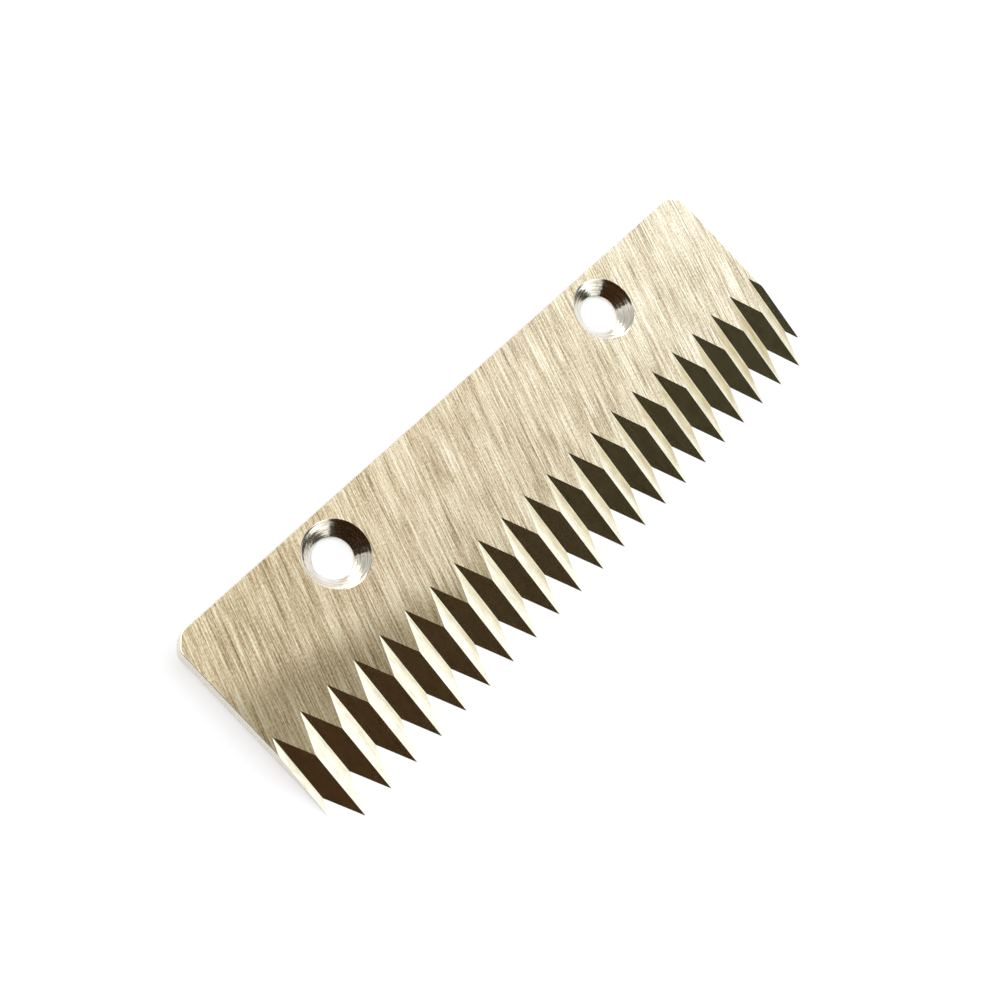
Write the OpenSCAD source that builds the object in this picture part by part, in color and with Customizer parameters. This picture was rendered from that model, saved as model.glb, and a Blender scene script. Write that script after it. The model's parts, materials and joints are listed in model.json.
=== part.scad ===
// Serrated blade: one flat ground steel plate that two countersunk screws hold.
// A V-shaped wheel has ground a row of slanting grooves down from the top face and out through
// the front edge. Between the grooves stand ridges that run out to sharp points on the back face.
// The origin is under the middle of the blade, on the face that it lies on. X runs along the
// blade, the teeth point to -Y and the countersinks open to +Z. All sizes are in millimetres.

/* [Plate] */
// Length of the blade, end to end
blade_length = 120; // [90:0.5:240]
// Width of the blade, from its straight edge to the points of the teeth
blade_width = 37; // [34:0.5:80]
// Thickness of the steel
blade_thickness = 2.5; // [2.3:0.1:4]
// Leg of the bevel that takes off each corner of the straight edge
corner_leg = 2; // [0.5:0.1:5]
// Leg of the small bevel on the plate's other outer edges, where the burr was taken off
edge_break = 0.15; // [0.05:0.05:0.5]

/* [Teeth] */
// Distance from one groove to the next
groove_pitch = 5.6; // [4:0.1:8]
// Slope at which a groove goes down from the top face, in degrees
groove_slope = 12.5; // [11:0.5:30]
// Full angle of the V that the wheel cuts, measured square to the groove, in degrees
groove_angle = 129; // [120:1:150]

/* [Screw holes] */
// Distance between the two screw holes
hole_spacing = 65; // [20:0.5:75]
// Distance from the straight edge to the middle of each hole
hole_inset = 6.75; // [6:0.25:7.5]
// Diameter of the hole that the screw's shank goes through
hole_d = 6.6; // [6.2:0.1:9]
// Diameter of the countersink at the top face
countersink_d = 11; // [8:0.1:11.3]
// Full angle of the countersink, in degrees
countersink_angle = 90; // [90:1:120]

/* [Hidden] */
round_fn = 96;
// How far a cutter reaches past the surface that it opens
clear = 1;
back_y = blade_width / 2;
tip_y = -blade_width / 2;
end_x = blade_length / 2;
// The row of grooves is centred, with a floor line within each end
groove_count = floor(blade_length / groove_pitch) + 1;
first_groove_x = -(groove_count - 1) * groove_pitch / 2;
// Height of a ridge above the groove floors beside it, square to the floor
ridge_height = groove_pitch / 2 / tan(groove_angle / 2);
// How far a ridge or a floor runs while it goes down through the whole plate
ramp_run = blade_thickness / tan(groove_slope);
// How much further back a groove starts than the ridges beside it
zigzag_depth = ridge_height / sin(groove_slope);
groove_start_y = tip_y + ramp_run + zigzag_depth;
// The cutter is tall enough to clear the whole plate out to its front edge
front_y = tip_y - clear;
cutter_height = blade_thickness + (groove_start_y - front_y) * tan(groove_slope) + clear;
cutter_half_width = cutter_height * tan(groove_angle / 2);
cutter_reach = (groove_start_y - front_y + clear) / cos(groove_slope) + cutter_height;
countersink_depth = (countersink_d - hole_d) / 2 / tan(countersink_angle / 2);
hole_y = back_y - hole_inset;
bevel_reach = (end_x + back_y - corner_leg) / sqrt(2);
// The plate's straight border edges: the way that each faces, and how far out it lies
BORDER = [
    [0, back_y],
    [90, end_x],
    [-90, end_x],
    [45, bevel_reach],
    [-45, bevel_reach]
];

// The plate before grinding, with the two corners of its straight edge taken off
module plate_outline() {
    polygon([
        [-end_x, front_y],
        [end_x, front_y],
        [end_x, back_y - corner_leg],
        [end_x - corner_leg, back_y],
        [corner_leg - end_x, back_y],
        [-end_x, back_y - corner_leg]
    ]);
}

// A square rod along a border edge, turned on its corner, takes an even bevel off that edge
module edge_cutter(facing, reach, height) {
    rotate([0, 0, facing])
        translate([0, reach, height])
            rotate([45, 0, 0])
                cube([2 * (blade_length + blade_width), edge_break * sqrt(2), edge_break * sqrt(2)], center = true);
}

module plate() {
    difference() {
        linear_extrude(height = blade_thickness)
            plate_outline();
        for (edge = BORDER, height = [0, blade_thickness])
            edge_cutter(edge[0], edge[1], height);
    }
}

// One pass of the wheel. Its floor line meets the top face at the groove's start and slopes
// down towards the teeth.
module groove_cutter() {
    translate([0, groove_start_y, blade_thickness])
        rotate([90 + groove_slope, 0, 0])
            translate([0, 0, -cutter_height])
                linear_extrude(height = cutter_reach + cutter_height)
                    polygon([
                        [0, 0],
                        [cutter_half_width, cutter_height],
                        [-cutter_half_width, cutter_height]
                    ]);
}

module grooves() {
    for (i = [0:groove_count - 1])
        translate([first_groove_x + i * groove_pitch, 0, 0])
            groove_cutter();
}

// A plain hole right through, and the cone that seats the screw's head flush with the top face
module screw_hole() {
    cone_growth = clear * tan(countersink_angle / 2);
    translate([0, 0, -clear])
        cylinder(h = blade_thickness + 2 * clear, d = hole_d, $fn = round_fn);
    translate([0, 0, blade_thickness - countersink_depth])
        cylinder(
            h = countersink_depth + clear,
            r1 = hole_d / 2,
            r2 = countersink_d / 2 + cone_growth,
            $fn = round_fn
        );
}

module blade() {
    color([0.80, 0.76, 0.66])
        difference() {
            plate();
            grooves();
            for (side = [-1, 1])
                translate([side * hole_spacing / 2, hole_y, 0])
                    screw_hole();
        }
}

blade();
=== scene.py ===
"""A serrated blade for a garden machine, ground from one flat piece of tool steel.

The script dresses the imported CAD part: it keeps its sizes and its place, and gives it the ground faces,
the finish-ground teeth and the turned screw seats of the real blade. Lengths are in millimetres until a
mesh is made, where they become metres.
"""

# %% [markdown]
# The CAD part comes first, as a frame that nothing here may move. Its box gives the length, width and
# thickness of the blade, and its record gives the screw holes. The sizes that neither of them holds, such
# as the pitch of the grooves, are the driving dimensions of the CAD source, written once below.

# %% Load the frame
import json
import math

import bpy
import numpy as np
from mathutils import Matrix, Vector


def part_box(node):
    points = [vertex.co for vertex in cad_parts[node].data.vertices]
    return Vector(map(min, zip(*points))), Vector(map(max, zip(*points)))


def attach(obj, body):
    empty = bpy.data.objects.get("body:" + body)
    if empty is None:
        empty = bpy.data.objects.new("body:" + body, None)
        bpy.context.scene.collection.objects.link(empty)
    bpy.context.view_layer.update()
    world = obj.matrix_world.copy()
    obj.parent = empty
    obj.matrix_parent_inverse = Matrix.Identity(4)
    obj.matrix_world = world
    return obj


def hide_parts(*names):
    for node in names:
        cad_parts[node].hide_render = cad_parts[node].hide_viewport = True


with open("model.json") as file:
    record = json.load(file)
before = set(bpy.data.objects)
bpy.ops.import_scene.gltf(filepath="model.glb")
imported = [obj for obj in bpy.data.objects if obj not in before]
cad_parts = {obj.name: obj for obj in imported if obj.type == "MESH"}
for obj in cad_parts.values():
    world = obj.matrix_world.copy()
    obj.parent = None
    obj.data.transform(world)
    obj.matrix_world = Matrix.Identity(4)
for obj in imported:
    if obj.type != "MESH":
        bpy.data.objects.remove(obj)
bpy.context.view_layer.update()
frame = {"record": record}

MM = 0.001
half_length, back_y, thickness = (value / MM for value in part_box("blade")[1])
tip_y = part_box("blade")[0].y / MM
mounts = {mount["name"]: mount for mount in frame["record"]["mounts"]}
hole_x, hole_y = (abs(value) / MM for value in mounts["screw_hole_right"]["pos_m"][:2])
hole_radius = mounts["screw_hole_right"]["dims"]["r_mm"]
print(f"blade {2 * half_length:.1f} x {back_y - tip_y:.1f} x {thickness:.1f} mm")
print(f"screw holes {2 * hole_x:.1f} mm apart, radius {hole_radius} mm")

# %% Sizes that the frame doesn't hold
GROOVE_PITCH = 5.6
GROOVE_SLOPE = math.radians(12.5)
WHEEL_ANGLE = math.radians(129)
CORNER_LEG = 2.0
EDGE_ROUND = 0.15
SEAT_RADIUS = 5.5
SEAT_ANGLE = math.radians(90)

ridge_height = GROOVE_PITCH / 2 / math.tan(WHEEL_ANGLE / 2)
zigzag_depth = ridge_height / math.sin(GROOVE_SLOPE)
ramp_run = thickness / math.tan(GROOVE_SLOPE)
groove_start_y = tip_y + ramp_run + zigzag_depth
first_floor_x = GROOVE_PITCH / 2
print(f"grooves start at y {groove_start_y:.2f} and run {ramp_run:.2f} mm down through the plate")

# %% [markdown]
# On the real blade a V-shaped grinding wheel passes over the front edge once for every groove. All its
# passes run the same way, so the whole row of teeth is one surface: a zigzag profile carried along one
# slanting direction. That is how it is made here too. A triangle wave gives the distance to the nearest
# groove floor, and the wave says how far back a slanting line starts. Cutting cones or wedges out of a
# plate with Booleans would give the same facets, but not the small roundings that catch the light: the
# wheel's nose leaves a narrow round in the floor, and honing leaves one on each ridge.

# %% The zigzag of the teeth
FLOOR_ROUND = 0.05
RIDGE_ROUND = 0.03


def floor_distance(x):
    """The distance from x to the nearest groove floor, as a triangle wave with soft turns.

    With d the plain distance and h half the pitch, the value is
    hypot(d, floor round) - d + h - hypot(h - d, ridge round): each sharp turn becomes a small hyperbola.
    """
    half = GROOVE_PITCH / 2
    plain = np.abs((x - first_floor_x + half) % GROOVE_PITCH - half)
    return np.hypot(plain, FLOOR_ROUND) - plain + half - np.hypot(half - plain, RIDGE_ROUND)


def tooth_y(x, z):
    """Where the ground surface lies at x and height z: a line that falls towards the teeth at the groove's
    slope, set back by the share of the zigzag's depth that the distance to the floor gives."""
    fall = (z - thickness) / math.tan(GROOVE_SLOPE)
    return groove_start_y + fall - zigzag_depth * floor_distance(x) / (GROOVE_PITCH / 2)


# %% Columns along the blade
# Close together at the floors and the ridges, 0.24 mm apart on the flanks between them. The last few
# follow the quarter circle that rounds the blade's end, so they also drop below the face. The rungs of the
# flat faces fan out round each hole, up to the groove floor nearest to FAN_REACH inside the hole's axis.
round_steps = np.linspace(0, math.pi / 2, 5)
near_turn = np.array([0, 0.02, 0.045, 0.08, 0.14, 0.24])
flank = np.linspace(0.45, GROOVE_PITCH / 2 - 0.45, 9)
half_pitch = np.concatenate([near_turn, flank, GROOVE_PITCH / 2 - near_turn[::-1]])
one_pitch = np.concatenate([half_pitch, GROOVE_PITCH - half_pitch[-2:0:-1]])
ridges = np.arange(0, half_length, GROOVE_PITCH)
columns = (ridges[:, None] + one_pitch).ravel()
columns = columns[columns < half_length - 2 * EDGE_ROUND]
face_columns = np.append(columns, half_length - EDGE_ROUND)
end_columns = half_length - EDGE_ROUND + EDGE_ROUND * np.sin(round_steps)
all_columns = np.concatenate([columns, end_columns])
column_drop = np.concatenate([np.zeros(len(columns)), EDGE_ROUND * (1 - np.cos(round_steps))])
tooth_rows = np.linspace(0, 1, 5)
floors = ridges[:-1] + first_floor_x
FAN_REACH = 13.0
fan_end = floors[np.argmin(np.abs(floors - (hole_x - FAN_REACH)))]
print(f"{len(all_columns)} columns on each half, {len(ridges)} ridges")

# %% [markdown]
# The rest of the outline is a plain profile, a wall with a small round at its top and bottom, carried
# round the ends, the two bevelled corners and the straight edge. The bevels of the real blade have
# slightly soft ends, so the path turns there on small arcs instead of at a point. Only the right half of
# the blade is worked out. The left half is its mirror image.

# %% The path round the right half
CORNER_SOFT = 2.0
ROOT_MARGIN = 0.4
corner_turn = CORNER_SOFT * math.tan(math.pi / 8)
face_line_top = groove_start_y + ROOT_MARGIN
face_line_back = face_line_top - ramp_run


def arc(centre, start, stop):
    """Points and outward directions on an arc of the corner radius between two angles."""
    angle = np.linspace(start, stop, 9)
    way = np.stack([np.cos(angle), np.sin(angle)], 1)
    return np.array(centre) + CORNER_SOFT * way, way


lower_centre = (half_length - CORNER_SOFT, back_y - CORNER_LEG - corner_turn)
upper_centre = (half_length - CORNER_LEG - corner_turn, back_y - CORNER_SOFT)
lower_arc, lower_way = arc(lower_centre, 0, math.pi / 4)
upper_arc, upper_way = arc(upper_centre, math.pi / 4, math.pi / 2)
spine_x = face_columns[face_columns < upper_centre[0] - 0.05]
between = (spine_x[1:] + spine_x[:-1]) / 2
spine_x = np.sort(np.concatenate([spine_x, between[between > fan_end]]))[::-1]
end_top_y = np.linspace(face_line_top, lower_centre[1], 24)
end_back_y = np.linspace(face_line_back, lower_centre[1], 24)
straight = len(end_top_y) - 1
end_x = np.full(straight, half_length)
path_top = np.concatenate([
    np.stack([end_x, end_top_y[:-1]], 1),
    lower_arc,
    upper_arc,
    np.stack([spine_x, np.full(len(spine_x), back_y)], 1),
])
path_back = path_top.copy()
path_back[:straight, 1] = end_back_y[:-1]
path_way = np.concatenate([
    np.tile([1.0, 0.0], (straight, 1)),
    lower_way,
    upper_way,
    np.tile([0.0, 1.0], (len(spine_x), 1)),
])
print(f"path of {len(path_top)} points, from the last groove to the middle of the straight edge")

# %% The wall that the path carries
inset = EDGE_ROUND * (1 - np.sin(round_steps))
drop = EDGE_ROUND * (1 - np.cos(round_steps))
wall_z = thickness - EDGE_ROUND - tooth_rows * (thickness - 2 * EDGE_ROUND)
profile_z = np.concatenate([thickness - drop[:-1], wall_z, drop[:-1][::-1]])
profile_inset = np.concatenate([inset[:-1], np.zeros(len(wall_z)), inset[:-1][::-1]])
toward_back = np.clip((thickness - EDGE_ROUND - profile_z) / (thickness - 2 * EDGE_ROUND), 0, 1)


def edge_wall():
    """The wall as a grid: the profile's rows by the path's columns.

    A point is the path's point moved in by the profile's inset at the profile's height. Its first column
    is where the end meets the last groove, so there y follows the ground surface.
    """
    share = toward_back[:, None, None]
    plan = path_top * (1 - share) + path_back * share - profile_inset[:, None, None] * path_way
    height = np.broadcast_to(profile_z[:, None, None], plan.shape[:2] + (1,))
    wall = np.concatenate([plan, height], 2)
    first_x = half_length - profile_inset
    first = np.stack([first_x, tooth_y(first_x, profile_z), profile_z], 1)
    return np.concatenate([first[:, None], wall], 1)


wall = edge_wall()
print(f"edge wall: {wall.shape[0]} rows by {wall.shape[1]} columns")


# %% The tooth surface
def teeth():
    """The ground teeth as a grid: each column is a straight line from the top face to the back face."""
    z = thickness - column_drop - tooth_rows[:, None] * (thickness - 2 * column_drop)
    x = np.broadcast_to(all_columns, z.shape)
    return np.stack([x, tooth_y(x, z), z], 2)


tooth_grid = teeth()
print(f"teeth: points reach y {tooth_grid[..., 1].min():.3f}, floors end at y "
      f"{tooth_grid[-1, :, 1].max():.3f} on the back face")

# %% [markdown]
# A flat face with two holes is awkward for a grid. The trick is to see it as a ring: its outer side is
# the blade's border, and its inner side is a slit that runs round both holes and along the line between
# them. Straight rungs from the border to the slit then cover the face without a gap, and the points on
# the slit's line are shared by the rungs from both sides.

# %% Rungs from the border to the slit
fan_width = hole_x - fan_end


def slit_aim(border):
    """For each border point of the right half: the angle on the hole's rim that its rung aims at, and how
    far along the slit's line it ends, from 0 at the rim to 1 at the middle of the blade.

    Outside the hole's centre the aim is the plain direction from it. On the inner side the angle goes on
    from a quarter turn to a half turn, in step with the direction, until the fan ends.
    """
    out, up = border[:, 0] - hole_x, border[:, 1] - hole_y
    angle = np.arctan2(up, out)
    inward = np.clip(-out, 0, fan_width)
    turned = np.arctan(inward / np.abs(up)) / np.arctan(fan_width / np.abs(up))
    angle = np.where(out < 0, np.sign(up) * (1 + turned) * math.pi / 2, angle)
    along = np.clip((fan_end - border[:, 0]) / fan_end, 0, 1)
    return angle, along


def slit(aim, radius):
    """The slit's points for a rim of that radius: on the rim, or on the line from it to the middle."""
    angle, along = aim
    x = (hole_x + radius * np.cos(angle)) * (1 - along)
    return np.stack([x, hole_y + radius * np.sin(angle) * (along == 0)], 1)


def flat_face(border, aim, radius, z):
    """A flat face as a grid: rungs in three rows from the border to the slit, all at height z."""
    share = np.linspace(0, 1, 4)[:, None, None]
    plan = border * (1 - share) + slit(aim, radius) * share
    return np.concatenate([plan, np.full(plan.shape[:2] + (1,), z)], 2)


def tooth_roots(face_line, z):
    """The strip of a flat face between the zigzag and the straight line behind it, as a grid of two rows."""
    y = np.stack([tooth_y(face_columns, z), np.full(len(face_columns), face_line)])
    x = np.broadcast_to(face_columns, y.shape)
    return np.stack([x, y, np.full(y.shape, z)], 2)


# %% The two flat faces
roots_top = tooth_roots(face_line_top, thickness)
roots_back = tooth_roots(face_line_back, 0.0)
border_top = np.concatenate([roots_top[1, :, :2], wall[0, 2:, :2]])
border_back = np.concatenate([roots_back[1, :, :2], wall[-1, 2:, :2]])
aim = slit_aim(border_top)
SEAT_BREAK = 0.1
face_top = flat_face(border_top, aim, SEAT_RADIUS, thickness)
face_back = flat_face(border_back, aim, hole_radius + SEAT_BREAK, 0.0)
print(f"flat faces: {face_top.shape[1]} rungs each, fan ends at x {fan_end:.1f}")

# %% [markdown]
# Each screw seat was turned with a countersinking tool: a cone for the head, a short cylinder below it.
# The tool has left fine steps round the cone, and it has chattered, which shows as a ring of short
# radial facets. Both are real shape, so both are in the mesh and not in the shading.

# %% The screw seats
cone_rows = np.linspace(0, 1, 33)
cone_depth = (SEAT_RADIUS - hole_radius) / math.tan(SEAT_ANGLE / 2)
land_z = thickness - cone_depth
seat_angles = aim[0][aim[1] == 0]


def bell(value, middle, width):
    """A bump of height 1 round the middle value: exp of minus the squared distance in widths."""
    return np.exp(-(((value - middle) / width) ** 2))


def turned_relief(share, angle):
    """How deep the tool's marks lie in the cone's surface, in millimetres.

    share runs from 0 at the seat's rim to 1 at its foot. A shallow ring lies just inside the rim, where the
    tool dwelled. The steps are two waves along the cone. The chatter is two waves round it, 27 and 41 to a
    turn, each strong in its own bands, and it swells and fades on the way round. Everything fades to
    nothing at both ends of the cone.
    """
    fade = np.clip(share / 0.05, 0, 1) * np.clip((1 - share) / 0.05, 0, 1)
    ring = 0.022 * bell(share, 0.15, 0.07)
    steps = 0.0030 * np.sin(2 * math.pi * 4.5 * share) + 0.0016 * np.sin(2 * math.pi * 9.3 * share + 1.0)
    coarse = np.sin(27 * angle + 2.2 * share) * (bell(share, 0.34, 0.12) + 0.7 * bell(share, 0.72, 0.10))
    fine = np.sin(41 * angle - 1.5 * share) * (bell(share, 0.52, 0.14) + 0.8 * bell(share, 0.88, 0.08))
    swell = 0.5 + 0.3 * np.sin(2 * angle + 0.8) + 0.2 * np.sin(5 * angle + 2.0)
    return fade * (ring + steps + swell * (0.011 * coarse + 0.006 * fine))


def screw_seat():
    """The seat and the hole as a grid of revolution: a cone with its relief, a land and a small break."""
    share, angle = cone_rows[:, None], seat_angles[None, :]
    relief = turned_relief(share, angle)
    radius = SEAT_RADIUS + share * (hole_radius - SEAT_RADIUS) + relief * math.cos(SEAT_ANGLE / 2)
    z = thickness - share * cone_depth - relief * math.sin(SEAT_ANGLE / 2)
    plain = np.ones_like(angle)
    radius = np.concatenate([radius, hole_radius * plain, (hole_radius + SEAT_BREAK) * plain])
    z = np.concatenate([z, SEAT_BREAK * plain, 0 * plain])
    x = hole_x + radius * np.cos(angle)
    return np.stack([x, hole_y + radius * np.sin(angle), z], 2)


seat = screw_seat()
print(f"seat: cone {cone_depth:.2f} mm deep, land from z {SEAT_BREAK} to {land_z:.2f} mm")

# %% [markdown]
# The grids share their edge points to the last digit, so welding equal points closes the skin. The
# surfaces keep their own finish, and an edge between two finishes stays crisp. A closed skin has every
# edge on exactly two faces, and that is what the next cell counts.

# %% Weld the grids into one closed mesh
FACE_TOP, GROOVES, SEATS, EDGES, FACE_BACK = range(5)


def quads_of(grid, flip):
    """A grid's faces as rows of four point numbers, with the grid's rows and columns counted as one."""
    rows, count = grid.shape[:2]
    number = np.arange(rows * count).reshape(rows, count)
    faces = np.stack([number[:-1, :-1], number[:-1, 1:], number[1:, 1:], number[1:, :-1]], 2)
    faces = faces.reshape(-1, 4)
    return faces[:, ::-1] if flip else faces


def weld(grids):
    """Joins grids of (points, finish, flip) into points, faces of four and a finish per face."""
    points, faces, finishes, start = [], [], [], 0
    for grid, finish, flip in grids:
        quads = quads_of(grid, flip) + start
        points.append(grid.reshape(-1, 3))
        faces.append(quads)
        finishes.append(np.full(len(quads), finish))
        start += grid.shape[0] * grid.shape[1]
    points, faces, finishes = map(np.concatenate, (points, faces, finishes))
    whole = np.round(points * 1e5).astype(np.int64)
    _, first, same = np.unique(whole, axis=0, return_index=True, return_inverse=True)
    faces = same.reshape(-1)[faces]
    return points[first], faces, finishes


half_grids = [
    (roots_top, FACE_TOP, False),
    (face_top, FACE_TOP, False),
    (tooth_grid, GROOVES, True),
    (wall, EDGES, True),
    (roots_back, FACE_BACK, True),
    (face_back, FACE_BACK, True),
    (seat, SEATS, False),
]
mirror = np.array([-1.0, 1.0, 1.0])
mirrored = [(grid * mirror, finish, not flip) for grid, finish, flip in half_grids]
points, quads, finishes = weld(half_grids + mirrored)
print(f"{len(points)} points, {len(quads)} faces")


# %% Make the mesh
mesh = bpy.data.meshes.new("blade_steel")
mesh.from_pydata((points * MM).tolist(), [], quads.tolist())
mesh.polygons.foreach_set("material_index", finishes.astype(np.int32))
mesh.polygons.foreach_set("use_smooth", np.ones(len(quads), dtype=bool))

corner_edge = np.zeros(len(mesh.loops), dtype=np.int32)
mesh.loops.foreach_get("edge_index", corner_edge)
corner_finish = np.repeat(finishes, 4)
uses = np.bincount(corner_edge, minlength=len(mesh.edges))
lowest = np.full(len(mesh.edges), 99)
highest = np.zeros(len(mesh.edges), dtype=int)
np.minimum.at(lowest, corner_edge, corner_finish)
np.maximum.at(highest, corner_edge, corner_finish)
mesh.edges.foreach_set("use_edge_sharp", lowest != highest)
mesh.update()
print(f"edges on exactly two faces: {int((uses == 2).sum())} of {len(uses)}")

blade = bpy.data.objects.new("blade_steel", mesh)
bpy.context.scene.collection.objects.link(blade)
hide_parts("blade")
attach(blade, "root")

# %% The volume of the mesh
triangles = np.concatenate([quads[:, [0, 1, 2]], quads[:, [0, 2, 3]]])
corners = points[triangles]
volume = np.einsum("ij,ij->i", corners[:, 0], np.cross(corners[:, 1], corners[:, 2])).sum() / 6
print(f"volume {volume:.1f} mm3, {len(triangles)} triangles")

# %% [markdown]
# Every finish here is steel, so every material is metallic, and what tells them apart is how each surface
# was cut. One function adds a node with its settings and links. Colours are written as the sRGB values
# that a screen shows and turned to linear light once.

# %% Helpers for the materials


def linear(hex_colour):
    """An sRGB hex colour as linear red, green, blue and alpha."""
    values = [int(hex_colour[i : i + 2], 16) / 255 for i in (1, 3, 5)]
    return [v / 12.92 if v <= 0.04045 else ((v + 0.055) / 1.055) ** 2.4 for v in values] + [1.0]


def add(tree, kind, inputs=(), stops=(), **settings):
    """Adds a node of that kind, sets its own options, gives each input a value or another node's output,
    and sets a colour ramp's stops, which are (position, hex colour) pairs."""
    made = tree.nodes.new("ShaderNode" + kind)
    for option, value in settings.items():
        setattr(made, option, value)
    for socket, value in dict(inputs).items():
        if isinstance(value, bpy.types.NodeSocket):
            tree.links.new(value, made.inputs[socket])
        else:
            made.inputs[socket].default_value = value
    for place, (position, colour) in enumerate(stops):
        ramp = made.color_ramp.elements
        stop = ramp[place] if place < 2 else ramp.new(position)
        stop.position, stop.color = position, linear(colour)
    return made


def metal(name, roughness):
    """A material with an empty tree and a metal shader of that roughness on its output."""
    material = bpy.data.materials.new(name)
    material.use_nodes = True
    tree = material.node_tree
    tree.nodes.clear()
    shader = add(tree, "BsdfPrincipled", {"Metallic": 1.0, "Roughness": roughness})
    add(tree, "OutputMaterial", {"Surface": shader.outputs["BSDF"]})
    return material, tree, shader


# %% [markdown]
# A surface grinder drags thousands of grits across the plate, and each leaves a scratch. The eye sees
# them as streaks, 0.2 to 0.4 mm wide and 3 to 14 mm long, that lean 20 degrees from the blade's width. A
# noise pattern stretched along the streaks draws them, in the object's own coordinates, so that it stays
# with the steel. Several such patterns are summed, because one alone looks like combed hair. The sum runs
# both in the colour, for the light and dark of the streaks, and in the bump, which spreads the
# reflections across them as real scratches do.

# %% Streaks
def streaks(tree, turn, width, length, detail=2.0, offset=0.0):
    """Noise round 0.5 in streaks of that width and length in millimetres, turned about the Z axis."""
    laid = add(tree, "Mapping", {
        "Vector": add(tree, "TexCoord").outputs["Object"],
        "Location": (offset, 0.3 * offset, 0.0),
        "Rotation": (0.0, 0.0, turn),
        "Scale": (length * MM, width * MM, length * MM),
    }, vector_type="TEXTURE")
    return add(tree, "TexNoise", {
        "Vector": laid.outputs["Vector"], "Scale": 1.0, "Detail": detail, "Roughness": 0.6,
    }).outputs["Fac"]


def weighted_sum(tree, parts):
    """The sum of values times their weights, as (value, weight) pairs."""
    total = 0.0
    for value, weight in parts:
        total = add(tree, "Math", {0: value, 1: weight, 2: total}, operation="MULTIPLY_ADD").outputs[0]
    return total


# %% [markdown]
# The wide faces are pale, slightly warm steel. Their streaks run from a dull brown grey, where a scratch is
# deep, to nearly white, where a polished land between two scratches faces the light. Towards the first
# teeth a smooth step along one direction darkens the colour to grey: painted shade, for a darker reflection.

# %% Surface-ground tool steel
GRIND_TURN = math.radians(70)
GROUND_RELIEF = 0.06
GROUND_STOPS = [(0.0, "#766850"), (1.0, "#FFFBE4"), (0.30, "#B8A480"), (0.5, "#D9C5A1"), (0.68, "#EFDFBC")]
# Painted shade: the direction and the span over which the colour darkens towards the first teeth.
PAINTED_SHADE_WAY = (-0.28, -0.96, 0.0)
PAINTED_SHADE_FROM, PAINTED_SHADE_TO = 6.0, 13.0


def ground_face(name, offset):
    """Ground steel: long streaks, short streaks, broad bands, a fine grain and slow changes of tone."""
    material, tree, shader = metal(name, 0.32)
    height = weighted_sum(tree, [
        (streaks(tree, GRIND_TURN, 0.24, 14.0, 3.0, offset), 0.36),
        (streaks(tree, GRIND_TURN + math.radians(2), 0.17, 3.2, 2.0, offset + 0.02), 0.22),
        (streaks(tree, GRIND_TURN - math.radians(4), 0.8, 10.0, 1.0, offset + 0.05), 0.14),
        (streaks(tree, GRIND_TURN, 0.24, 0.42, 1.0, offset), 0.20),
        (streaks(tree, GRIND_TURN, 4.0, 9.0, 0.0, offset + 0.07), 0.08),
    ])
    tone = add(tree, "MapRange", {"Value": height, "From Min": 0.36, "From Max": 0.64}).outputs["Result"]
    steel = add(tree, "ValToRGB", {"Fac": tone}, GROUND_STOPS).outputs["Color"]
    place = add(tree, "TexCoord").outputs["Object"]
    # Painted shade: a smooth step across the face multiplies the steel's colour by grey towards the first
    # teeth.
    toward = add(tree, "VectorMath", {0: place, 1: PAINTED_SHADE_WAY}, operation="DOT_PRODUCT").outputs["Value"]
    dull = add(tree, "MapRange", {
        "Value": toward, "From Min": PAINTED_SHADE_FROM * MM, "From Max": PAINTED_SHADE_TO * MM, "To Max": 0.92,
    }, interpolation_type="SMOOTHSTEP").outputs["Result"]
    painted_shade_steel = add(tree, "Mix", {"Factor": dull, "A": steel, "B": linear("#C4C2B8")},
                 data_type="RGBA", blend_type="MULTIPLY")
    relief = add(tree, "Bump", {"Height": height, "Distance": GROUND_RELIEF * MM})
    tree.links.new(painted_shade_steel.outputs["Result"], shader.inputs["Base Color"])
    tree.links.new(relief.outputs["Normal"], shader.inputs["Normal"])
    return material


# %% [markdown]
# A finer wheel cut the grooves. Its scratches run along them and are too shallow to tell apart, so a wall
# mirrors the tent almost evenly: cream where it faces the cloth, brown where it faces the opening.

# %% Finish-ground groove walls
WALL_RELIEF = 0.01
WALL_STOPS = [(0.0, "#C4B593"), (1.0, "#F0E5C4"), (0.5, "#E0D1AD")]


def groove_wall(name):
    """Finish-ground steel: fine lines along the grooves and a soft haze."""
    material, tree, shader = metal(name, 0.22)
    lines = streaks(tree, math.pi / 2, 0.16, 9.0, 2.0)
    height = weighted_sum(tree, [(lines, 0.5), (streaks(tree, math.pi / 2, 0.9, 2.2, 2.0, 0.03), 0.5)])
    tone = add(tree, "MapRange", {"Value": height, "From Min": 0.3, "From Max": 0.7}).outputs["Result"]
    steel = add(tree, "ValToRGB", {"Fac": tone}, WALL_STOPS).outputs["Color"]
    relief = add(tree, "Bump", {"Height": lines, "Distance": WALL_RELIEF * MM})
    tree.links.new(steel, shader.inputs["Base Color"])
    tree.links.new(relief.outputs["Normal"], shader.inputs["Normal"])
    return material


# %% [markdown]
# The seats are bright turned steel, greyer than the ground face, with fine rings round each hole. The rings
# are noise that is stretched round the hole: it is laid out by the distance from the nearer hole's axis,
# and by the direction from that axis.

# %% Turned screw seats
RING_WIDTH = 0.22
SEAT_RELIEF = 0.012
SEAT_STOPS = [(0.0, "#B9B2A4"), (1.0, "#F7F3EA"), (0.5, "#E6E0D2")]


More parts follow.
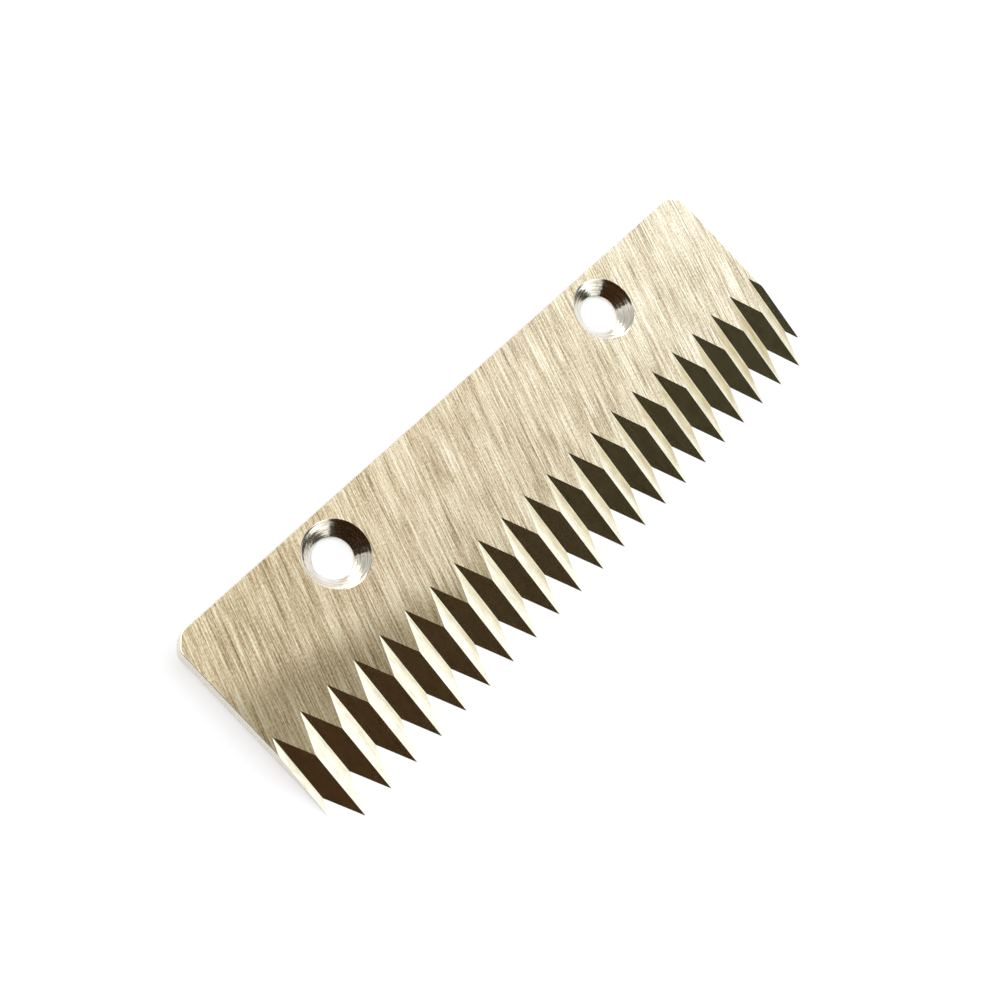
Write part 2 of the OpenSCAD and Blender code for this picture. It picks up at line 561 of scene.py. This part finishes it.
def turned_seat(name):
    """Turned steel: noise that changes fast with the distance from the hole's axis and slowly round it."""
    material, tree, shader = metal(name, 0.16)
    place = add(tree, "SeparateXYZ", {"Vector": add(tree, "TexCoord").outputs["Object"]})
    side = add(tree, "Math", {0: place.outputs["X"]}, operation="ABSOLUTE")
    across = add(tree, "Math", {0: side.outputs[0], 1: hole_x * MM}, operation="SUBTRACT")
    along = add(tree, "Math", {0: place.outputs["Y"], 1: hole_y * MM}, operation="SUBTRACT")
    spoke = add(tree, "CombineXYZ", {"X": across.outputs[0], "Y": along.outputs[0]}).outputs["Vector"]
    radius = add(tree, "VectorMath", {0: spoke}, operation="LENGTH").outputs["Value"]
    way = add(tree, "VectorMath", {0: spoke}, operation="NORMALIZE").outputs["Vector"]
    step = add(tree, "Math", {0: radius, 1: RING_WIDTH * MM}, operation="DIVIDE").outputs[0]
    layer = add(tree, "CombineXYZ", {"Z": step}).outputs["Vector"]
    laid = add(tree, "VectorMath", {0: way, 1: (1.4, 1.4, 1.4), 2: layer}, operation="MULTIPLY_ADD")
    rings = add(tree, "TexNoise", {"Vector": laid.outputs["Vector"], "Scale": 1.0, "Detail": 2.0})
    tone = add(tree, "MapRange", {"Value": rings.outputs["Fac"], "From Min": 0.3, "From Max": 0.7})
    steel = add(tree, "ValToRGB", {"Fac": tone.outputs["Result"]}, SEAT_STOPS).outputs["Color"]
    relief = add(tree, "Bump", {"Height": rings.outputs["Fac"], "Distance": SEAT_RELIEF * MM})
    tree.links.new(steel, shader.inputs["Base Color"])
    tree.links.new(relief.outputs["Normal"], shader.inputs["Normal"])
    return material


# %% [markdown]
# The ends and the straight edge are ground too, then tumbled, which takes the burr off and dulls them.

# %% Ground and tumbled edges
EDGE_STOPS = [(0.0, "#DDD6C8"), (1.0, "#F6F1E6")]


def tumbled_edge(name):
    """Tumbled steel: an even, dull surface with fine mottling."""
    material, tree, shader = metal(name, 0.24)
    patches = streaks(tree, 0.0, 0.5, 0.5, 3.0)
    tone = add(tree, "MapRange", {"Value": patches, "From Min": 0.3, "From Max": 0.7}).outputs["Result"]
    steel = add(tree, "ValToRGB", {"Fac": tone}, EDGE_STOPS).outputs["Color"]
    tree.links.new(steel, shader.inputs["Base Color"])
    return material


mesh.materials.append(ground_face("surface_ground_steel", 0.0))
mesh.materials.append(groove_wall("finish_ground_groove_steel"))
mesh.materials.append(turned_seat("turned_seat_steel"))
mesh.materials.append(tumbled_edge("tumbled_edge_steel"))
mesh.materials.append(ground_face("back_ground_steel", 0.4))
print("materials:", ", ".join(material.name for material in mesh.materials))

# %% [markdown]
# Bare steel has little colour of its own and shows what surrounds it, so it is photographed in a light
# tent: a dome of white cloth, lit from outside, with a dark opening where the photographer stands. Here
# the tent is a half sphere that glows, brightest on the window side. Its opening is what fills one wall of
# every groove and a quarter of each screw seat with brown shade. The camera looks through the cloth.

# %% The brightness of the tent


def heading(azimuth, elevation):
    """A unit direction from degrees: azimuth from +X towards +Y, elevation up from the floor."""
    turn, rise = math.radians(azimuth), math.radians(elevation)
    return np.array([math.cos(rise) * math.cos(turn), math.cos(rise) * math.sin(turn), math.sin(rise)])


def ease(value, low, high):
    """0 below low, 1 above high, and 3t^2 - 2t^3 between them."""
    t = np.clip((value - low) / (high - low), 0, 1)
    return t * t * (3 - 2 * t)


def tent_light(way):
    """The colour that the cloth sends in from each direction of an array.

    The level grows with the angle from the upper opening, falls towards +Y and grows towards -Y. Two
    caps of shade make the opening: a low one all along the photographer's side, and one above it.
    """
    upper = way @ heading(232, 57)
    level = 0.40 + 1.05 * ease(1 - upper, 0.17, 0.66)
    level = level * (1 - 0.55 * ease(way[:, 1], 0.35, 0.85)) + 0.6 * ease(-way[:, 1], 0.50, 0.95)
    low_angle = np.degrees(np.arccos(np.clip(way @ heading(190, -12), -1, 1)))
    upper_angle = np.degrees(np.arccos(np.clip(upper, -1, 1)))
    open_share = ease(low_angle, 65, 71) * ease(upper_angle, 22, 32)
    share = ease(way[:, 2], 0.40, 0.65)[:, None]
    warm = ease(way[:, 0], -0.60, -0.15)[:, None]
    upper_shade = np.array([0.057, 0.026, 0.008]) * (1 - warm) + np.array([0.038, 0.040, 0.022]) * warm
    shade = np.array([0.030, 0.015, 0.006]) * (1 - share) + upper_shade * share
    window = ease(way[:, 0], 0.42, 0.75)[:, None]
    cloth = np.array([1.0, 1.0, 0.98]) * (1 - window) + np.array([1.04, 1.20, 1.52]) * window
    return level[:, None] * open_share[:, None] * cloth + (1 - open_share[:, None]) * shade


# %% The tent
TENT_RADIUS = 1.8


def tent():
    """A half sphere on a grid of azimuth and elevation, whose points carry their light as a colour."""
    turn = np.radians(np.arange(0, 360, 2.5))
    rise = np.radians(np.linspace(-3, 89.9, 38))
    turns, rises = np.meshgrid(turn, rise)
    way = np.stack([np.cos(rises) * np.cos(turns), np.cos(rises) * np.sin(turns), np.sin(rises)], 2)
    number = np.arange(turns.size).reshape(turns.shape)
    after = np.roll(number, -1, 1)
    cloth_faces = np.stack([number[:-1], number[1:], after[1:], after[:-1]], 2).reshape(-1, 4)
    cloth = bpy.data.meshes.new("light_tent")
    cloth.from_pydata((way.reshape(-1, 3) * TENT_RADIUS).tolist(), [], cloth_faces.tolist())
    light = np.ones((turns.size, 4))
    light[:, :3] = tent_light(way.reshape(-1, 3))
    cloth.attributes.new("light", "FLOAT_COLOR", "POINT").data.foreach_set("color", light.ravel())
    dome = bpy.data.objects.new("light_tent", cloth)
    dome.visible_camera = False
    bpy.context.scene.collection.objects.link(dome)
    material = bpy.data.materials.new("lit_tent_cloth")
    material.cycles.emission_sampling = "NONE"
    material.use_nodes = True
    tree = material.node_tree
    tree.nodes.clear()
    glow = add(tree, "Emission", {"Color": add(tree, "Attribute", attribute_name="light").outputs["Color"]})
    add(tree, "OutputMaterial", {"Surface": glow.outputs["Emission"]})
    cloth.materials.append(material)


tent()

# %% [markdown]
# The floor is plain white paper under the blade. It takes the soft shadow, and beyond its edge there is
# only a white world.

# %% The floor and the background
def floor():
    """A wide pale floor under the blade. It takes the shadow, and a glow that only the camera and the
    mirror-like rays see lifts it to white."""
    half, depth = 4.0, -0.00003
    plane = bpy.data.meshes.new("floor")
    plane.from_pydata([(-half, -half, depth), (half, -half, depth), (half, half, depth), (-half, half, depth)],
                      [], [(0, 1, 2, 3)])
    ground = bpy.data.objects.new("floor", plane)
    bpy.context.scene.collection.objects.link(ground)
    material = bpy.data.materials.new("white_paper")
    material.use_nodes = True
    tree = material.node_tree
    tree.nodes.clear()
    path = add(tree, "LightPath").outputs
    seen = add(tree, "Math", {0: path["Is Camera Ray"], 1: path["Is Glossy Ray"]}, operation="MAXIMUM")
    seen = add(tree, "Math", {0: seen.outputs[0], 1: path["Is Transmission Ray"]}, operation="MAXIMUM")
    lift = add(tree, "Math", {0: seen.outputs[0], 1: 0.42}, operation="MULTIPLY")
    paper = add(tree, "BsdfDiffuse", {"Color": linear("#CFCFCF")})
    glow = add(tree, "Emission", {"Strength": lift.outputs[0]})
    both = add(tree, "AddShader", {0: paper.outputs["BSDF"], 1: glow.outputs["Emission"]})
    add(tree, "OutputMaterial", {"Surface": both.outputs["Shader"]})
    plane.materials.append(material)


def white_world():
    """Plain white all round, which only shows beyond the floor's far edge."""
    world = bpy.data.worlds.new("white")
    bpy.context.scene.world = world
    world.use_nodes = True
    world.node_tree.nodes.clear()
    light = add(world.node_tree, "Background", {"Color": (1.0, 1.0, 1.0, 1.0), "Strength": 1.0})
    add(world.node_tree, "OutputWorld", {"Surface": light.outputs["Background"]})


floor()
white_world()

# %% [markdown]
# One large soft lamp inside the tent gives the shadow a side. It hangs over the straight edge, because
# there no wide face and no groove wall mirrors it towards the camera.

# %% The lamp
LAMP_PLACE = Vector(heading(110, 62) * 1.3)


def lamp():
    """A large soft box over the straight edge, inside the tent, where no face of the blade mirrors it."""
    light = bpy.data.lights.new("soft_box", "AREA")
    light.shape = "DISK"
    light.size = 1.0
    light.energy = 8.0
    soft_box = bpy.data.objects.new("soft_box", light)
    soft_box.location = LAMP_PLACE
    soft_box.rotation_mode = "QUATERNION"
    soft_box.rotation_quaternion = (-LAMP_PLACE).to_track_quat("-Z", "Y")
    bpy.context.scene.collection.objects.link(soft_box)


lamp()

# %% [markdown]
# The camera stands where the photograph was taken from. It looks down at 62 degrees from the blade's left
# end, and it is rolled so that the blade runs up the picture from left to right.

# %% The camera
TARGET = Vector((-5.03, 0.77, 0.0)) * MM
CAMERA_PLACE = Vector((-132.64, 4.46, 237.92)) * MM
CAMERA_ROLL = math.radians(48.08)
LENS = 62.05


def camera():
    """A level camera at CAMERA_PLACE that looks at TARGET, then rolled about its own axis."""
    data = bpy.data.cameras.new("camera")
    data.sensor_fit = "HORIZONTAL"
    data.sensor_width = 36.0
    data.lens = LENS
    data.clip_start = 0.01
    level = (TARGET - CAMERA_PLACE).to_track_quat("-Z", "Y").to_matrix()
    turned = (level @ Matrix.Rotation(CAMERA_ROLL, 3, "Z")).to_4x4()
    made = bpy.data.objects.new("camera", data)
    made.matrix_world = Matrix.Translation(CAMERA_PLACE) @ turned
    bpy.context.scene.collection.objects.link(made)
    bpy.context.scene.camera = made


camera()
bpy.context.scene.view_settings.view_transform = "Standard"
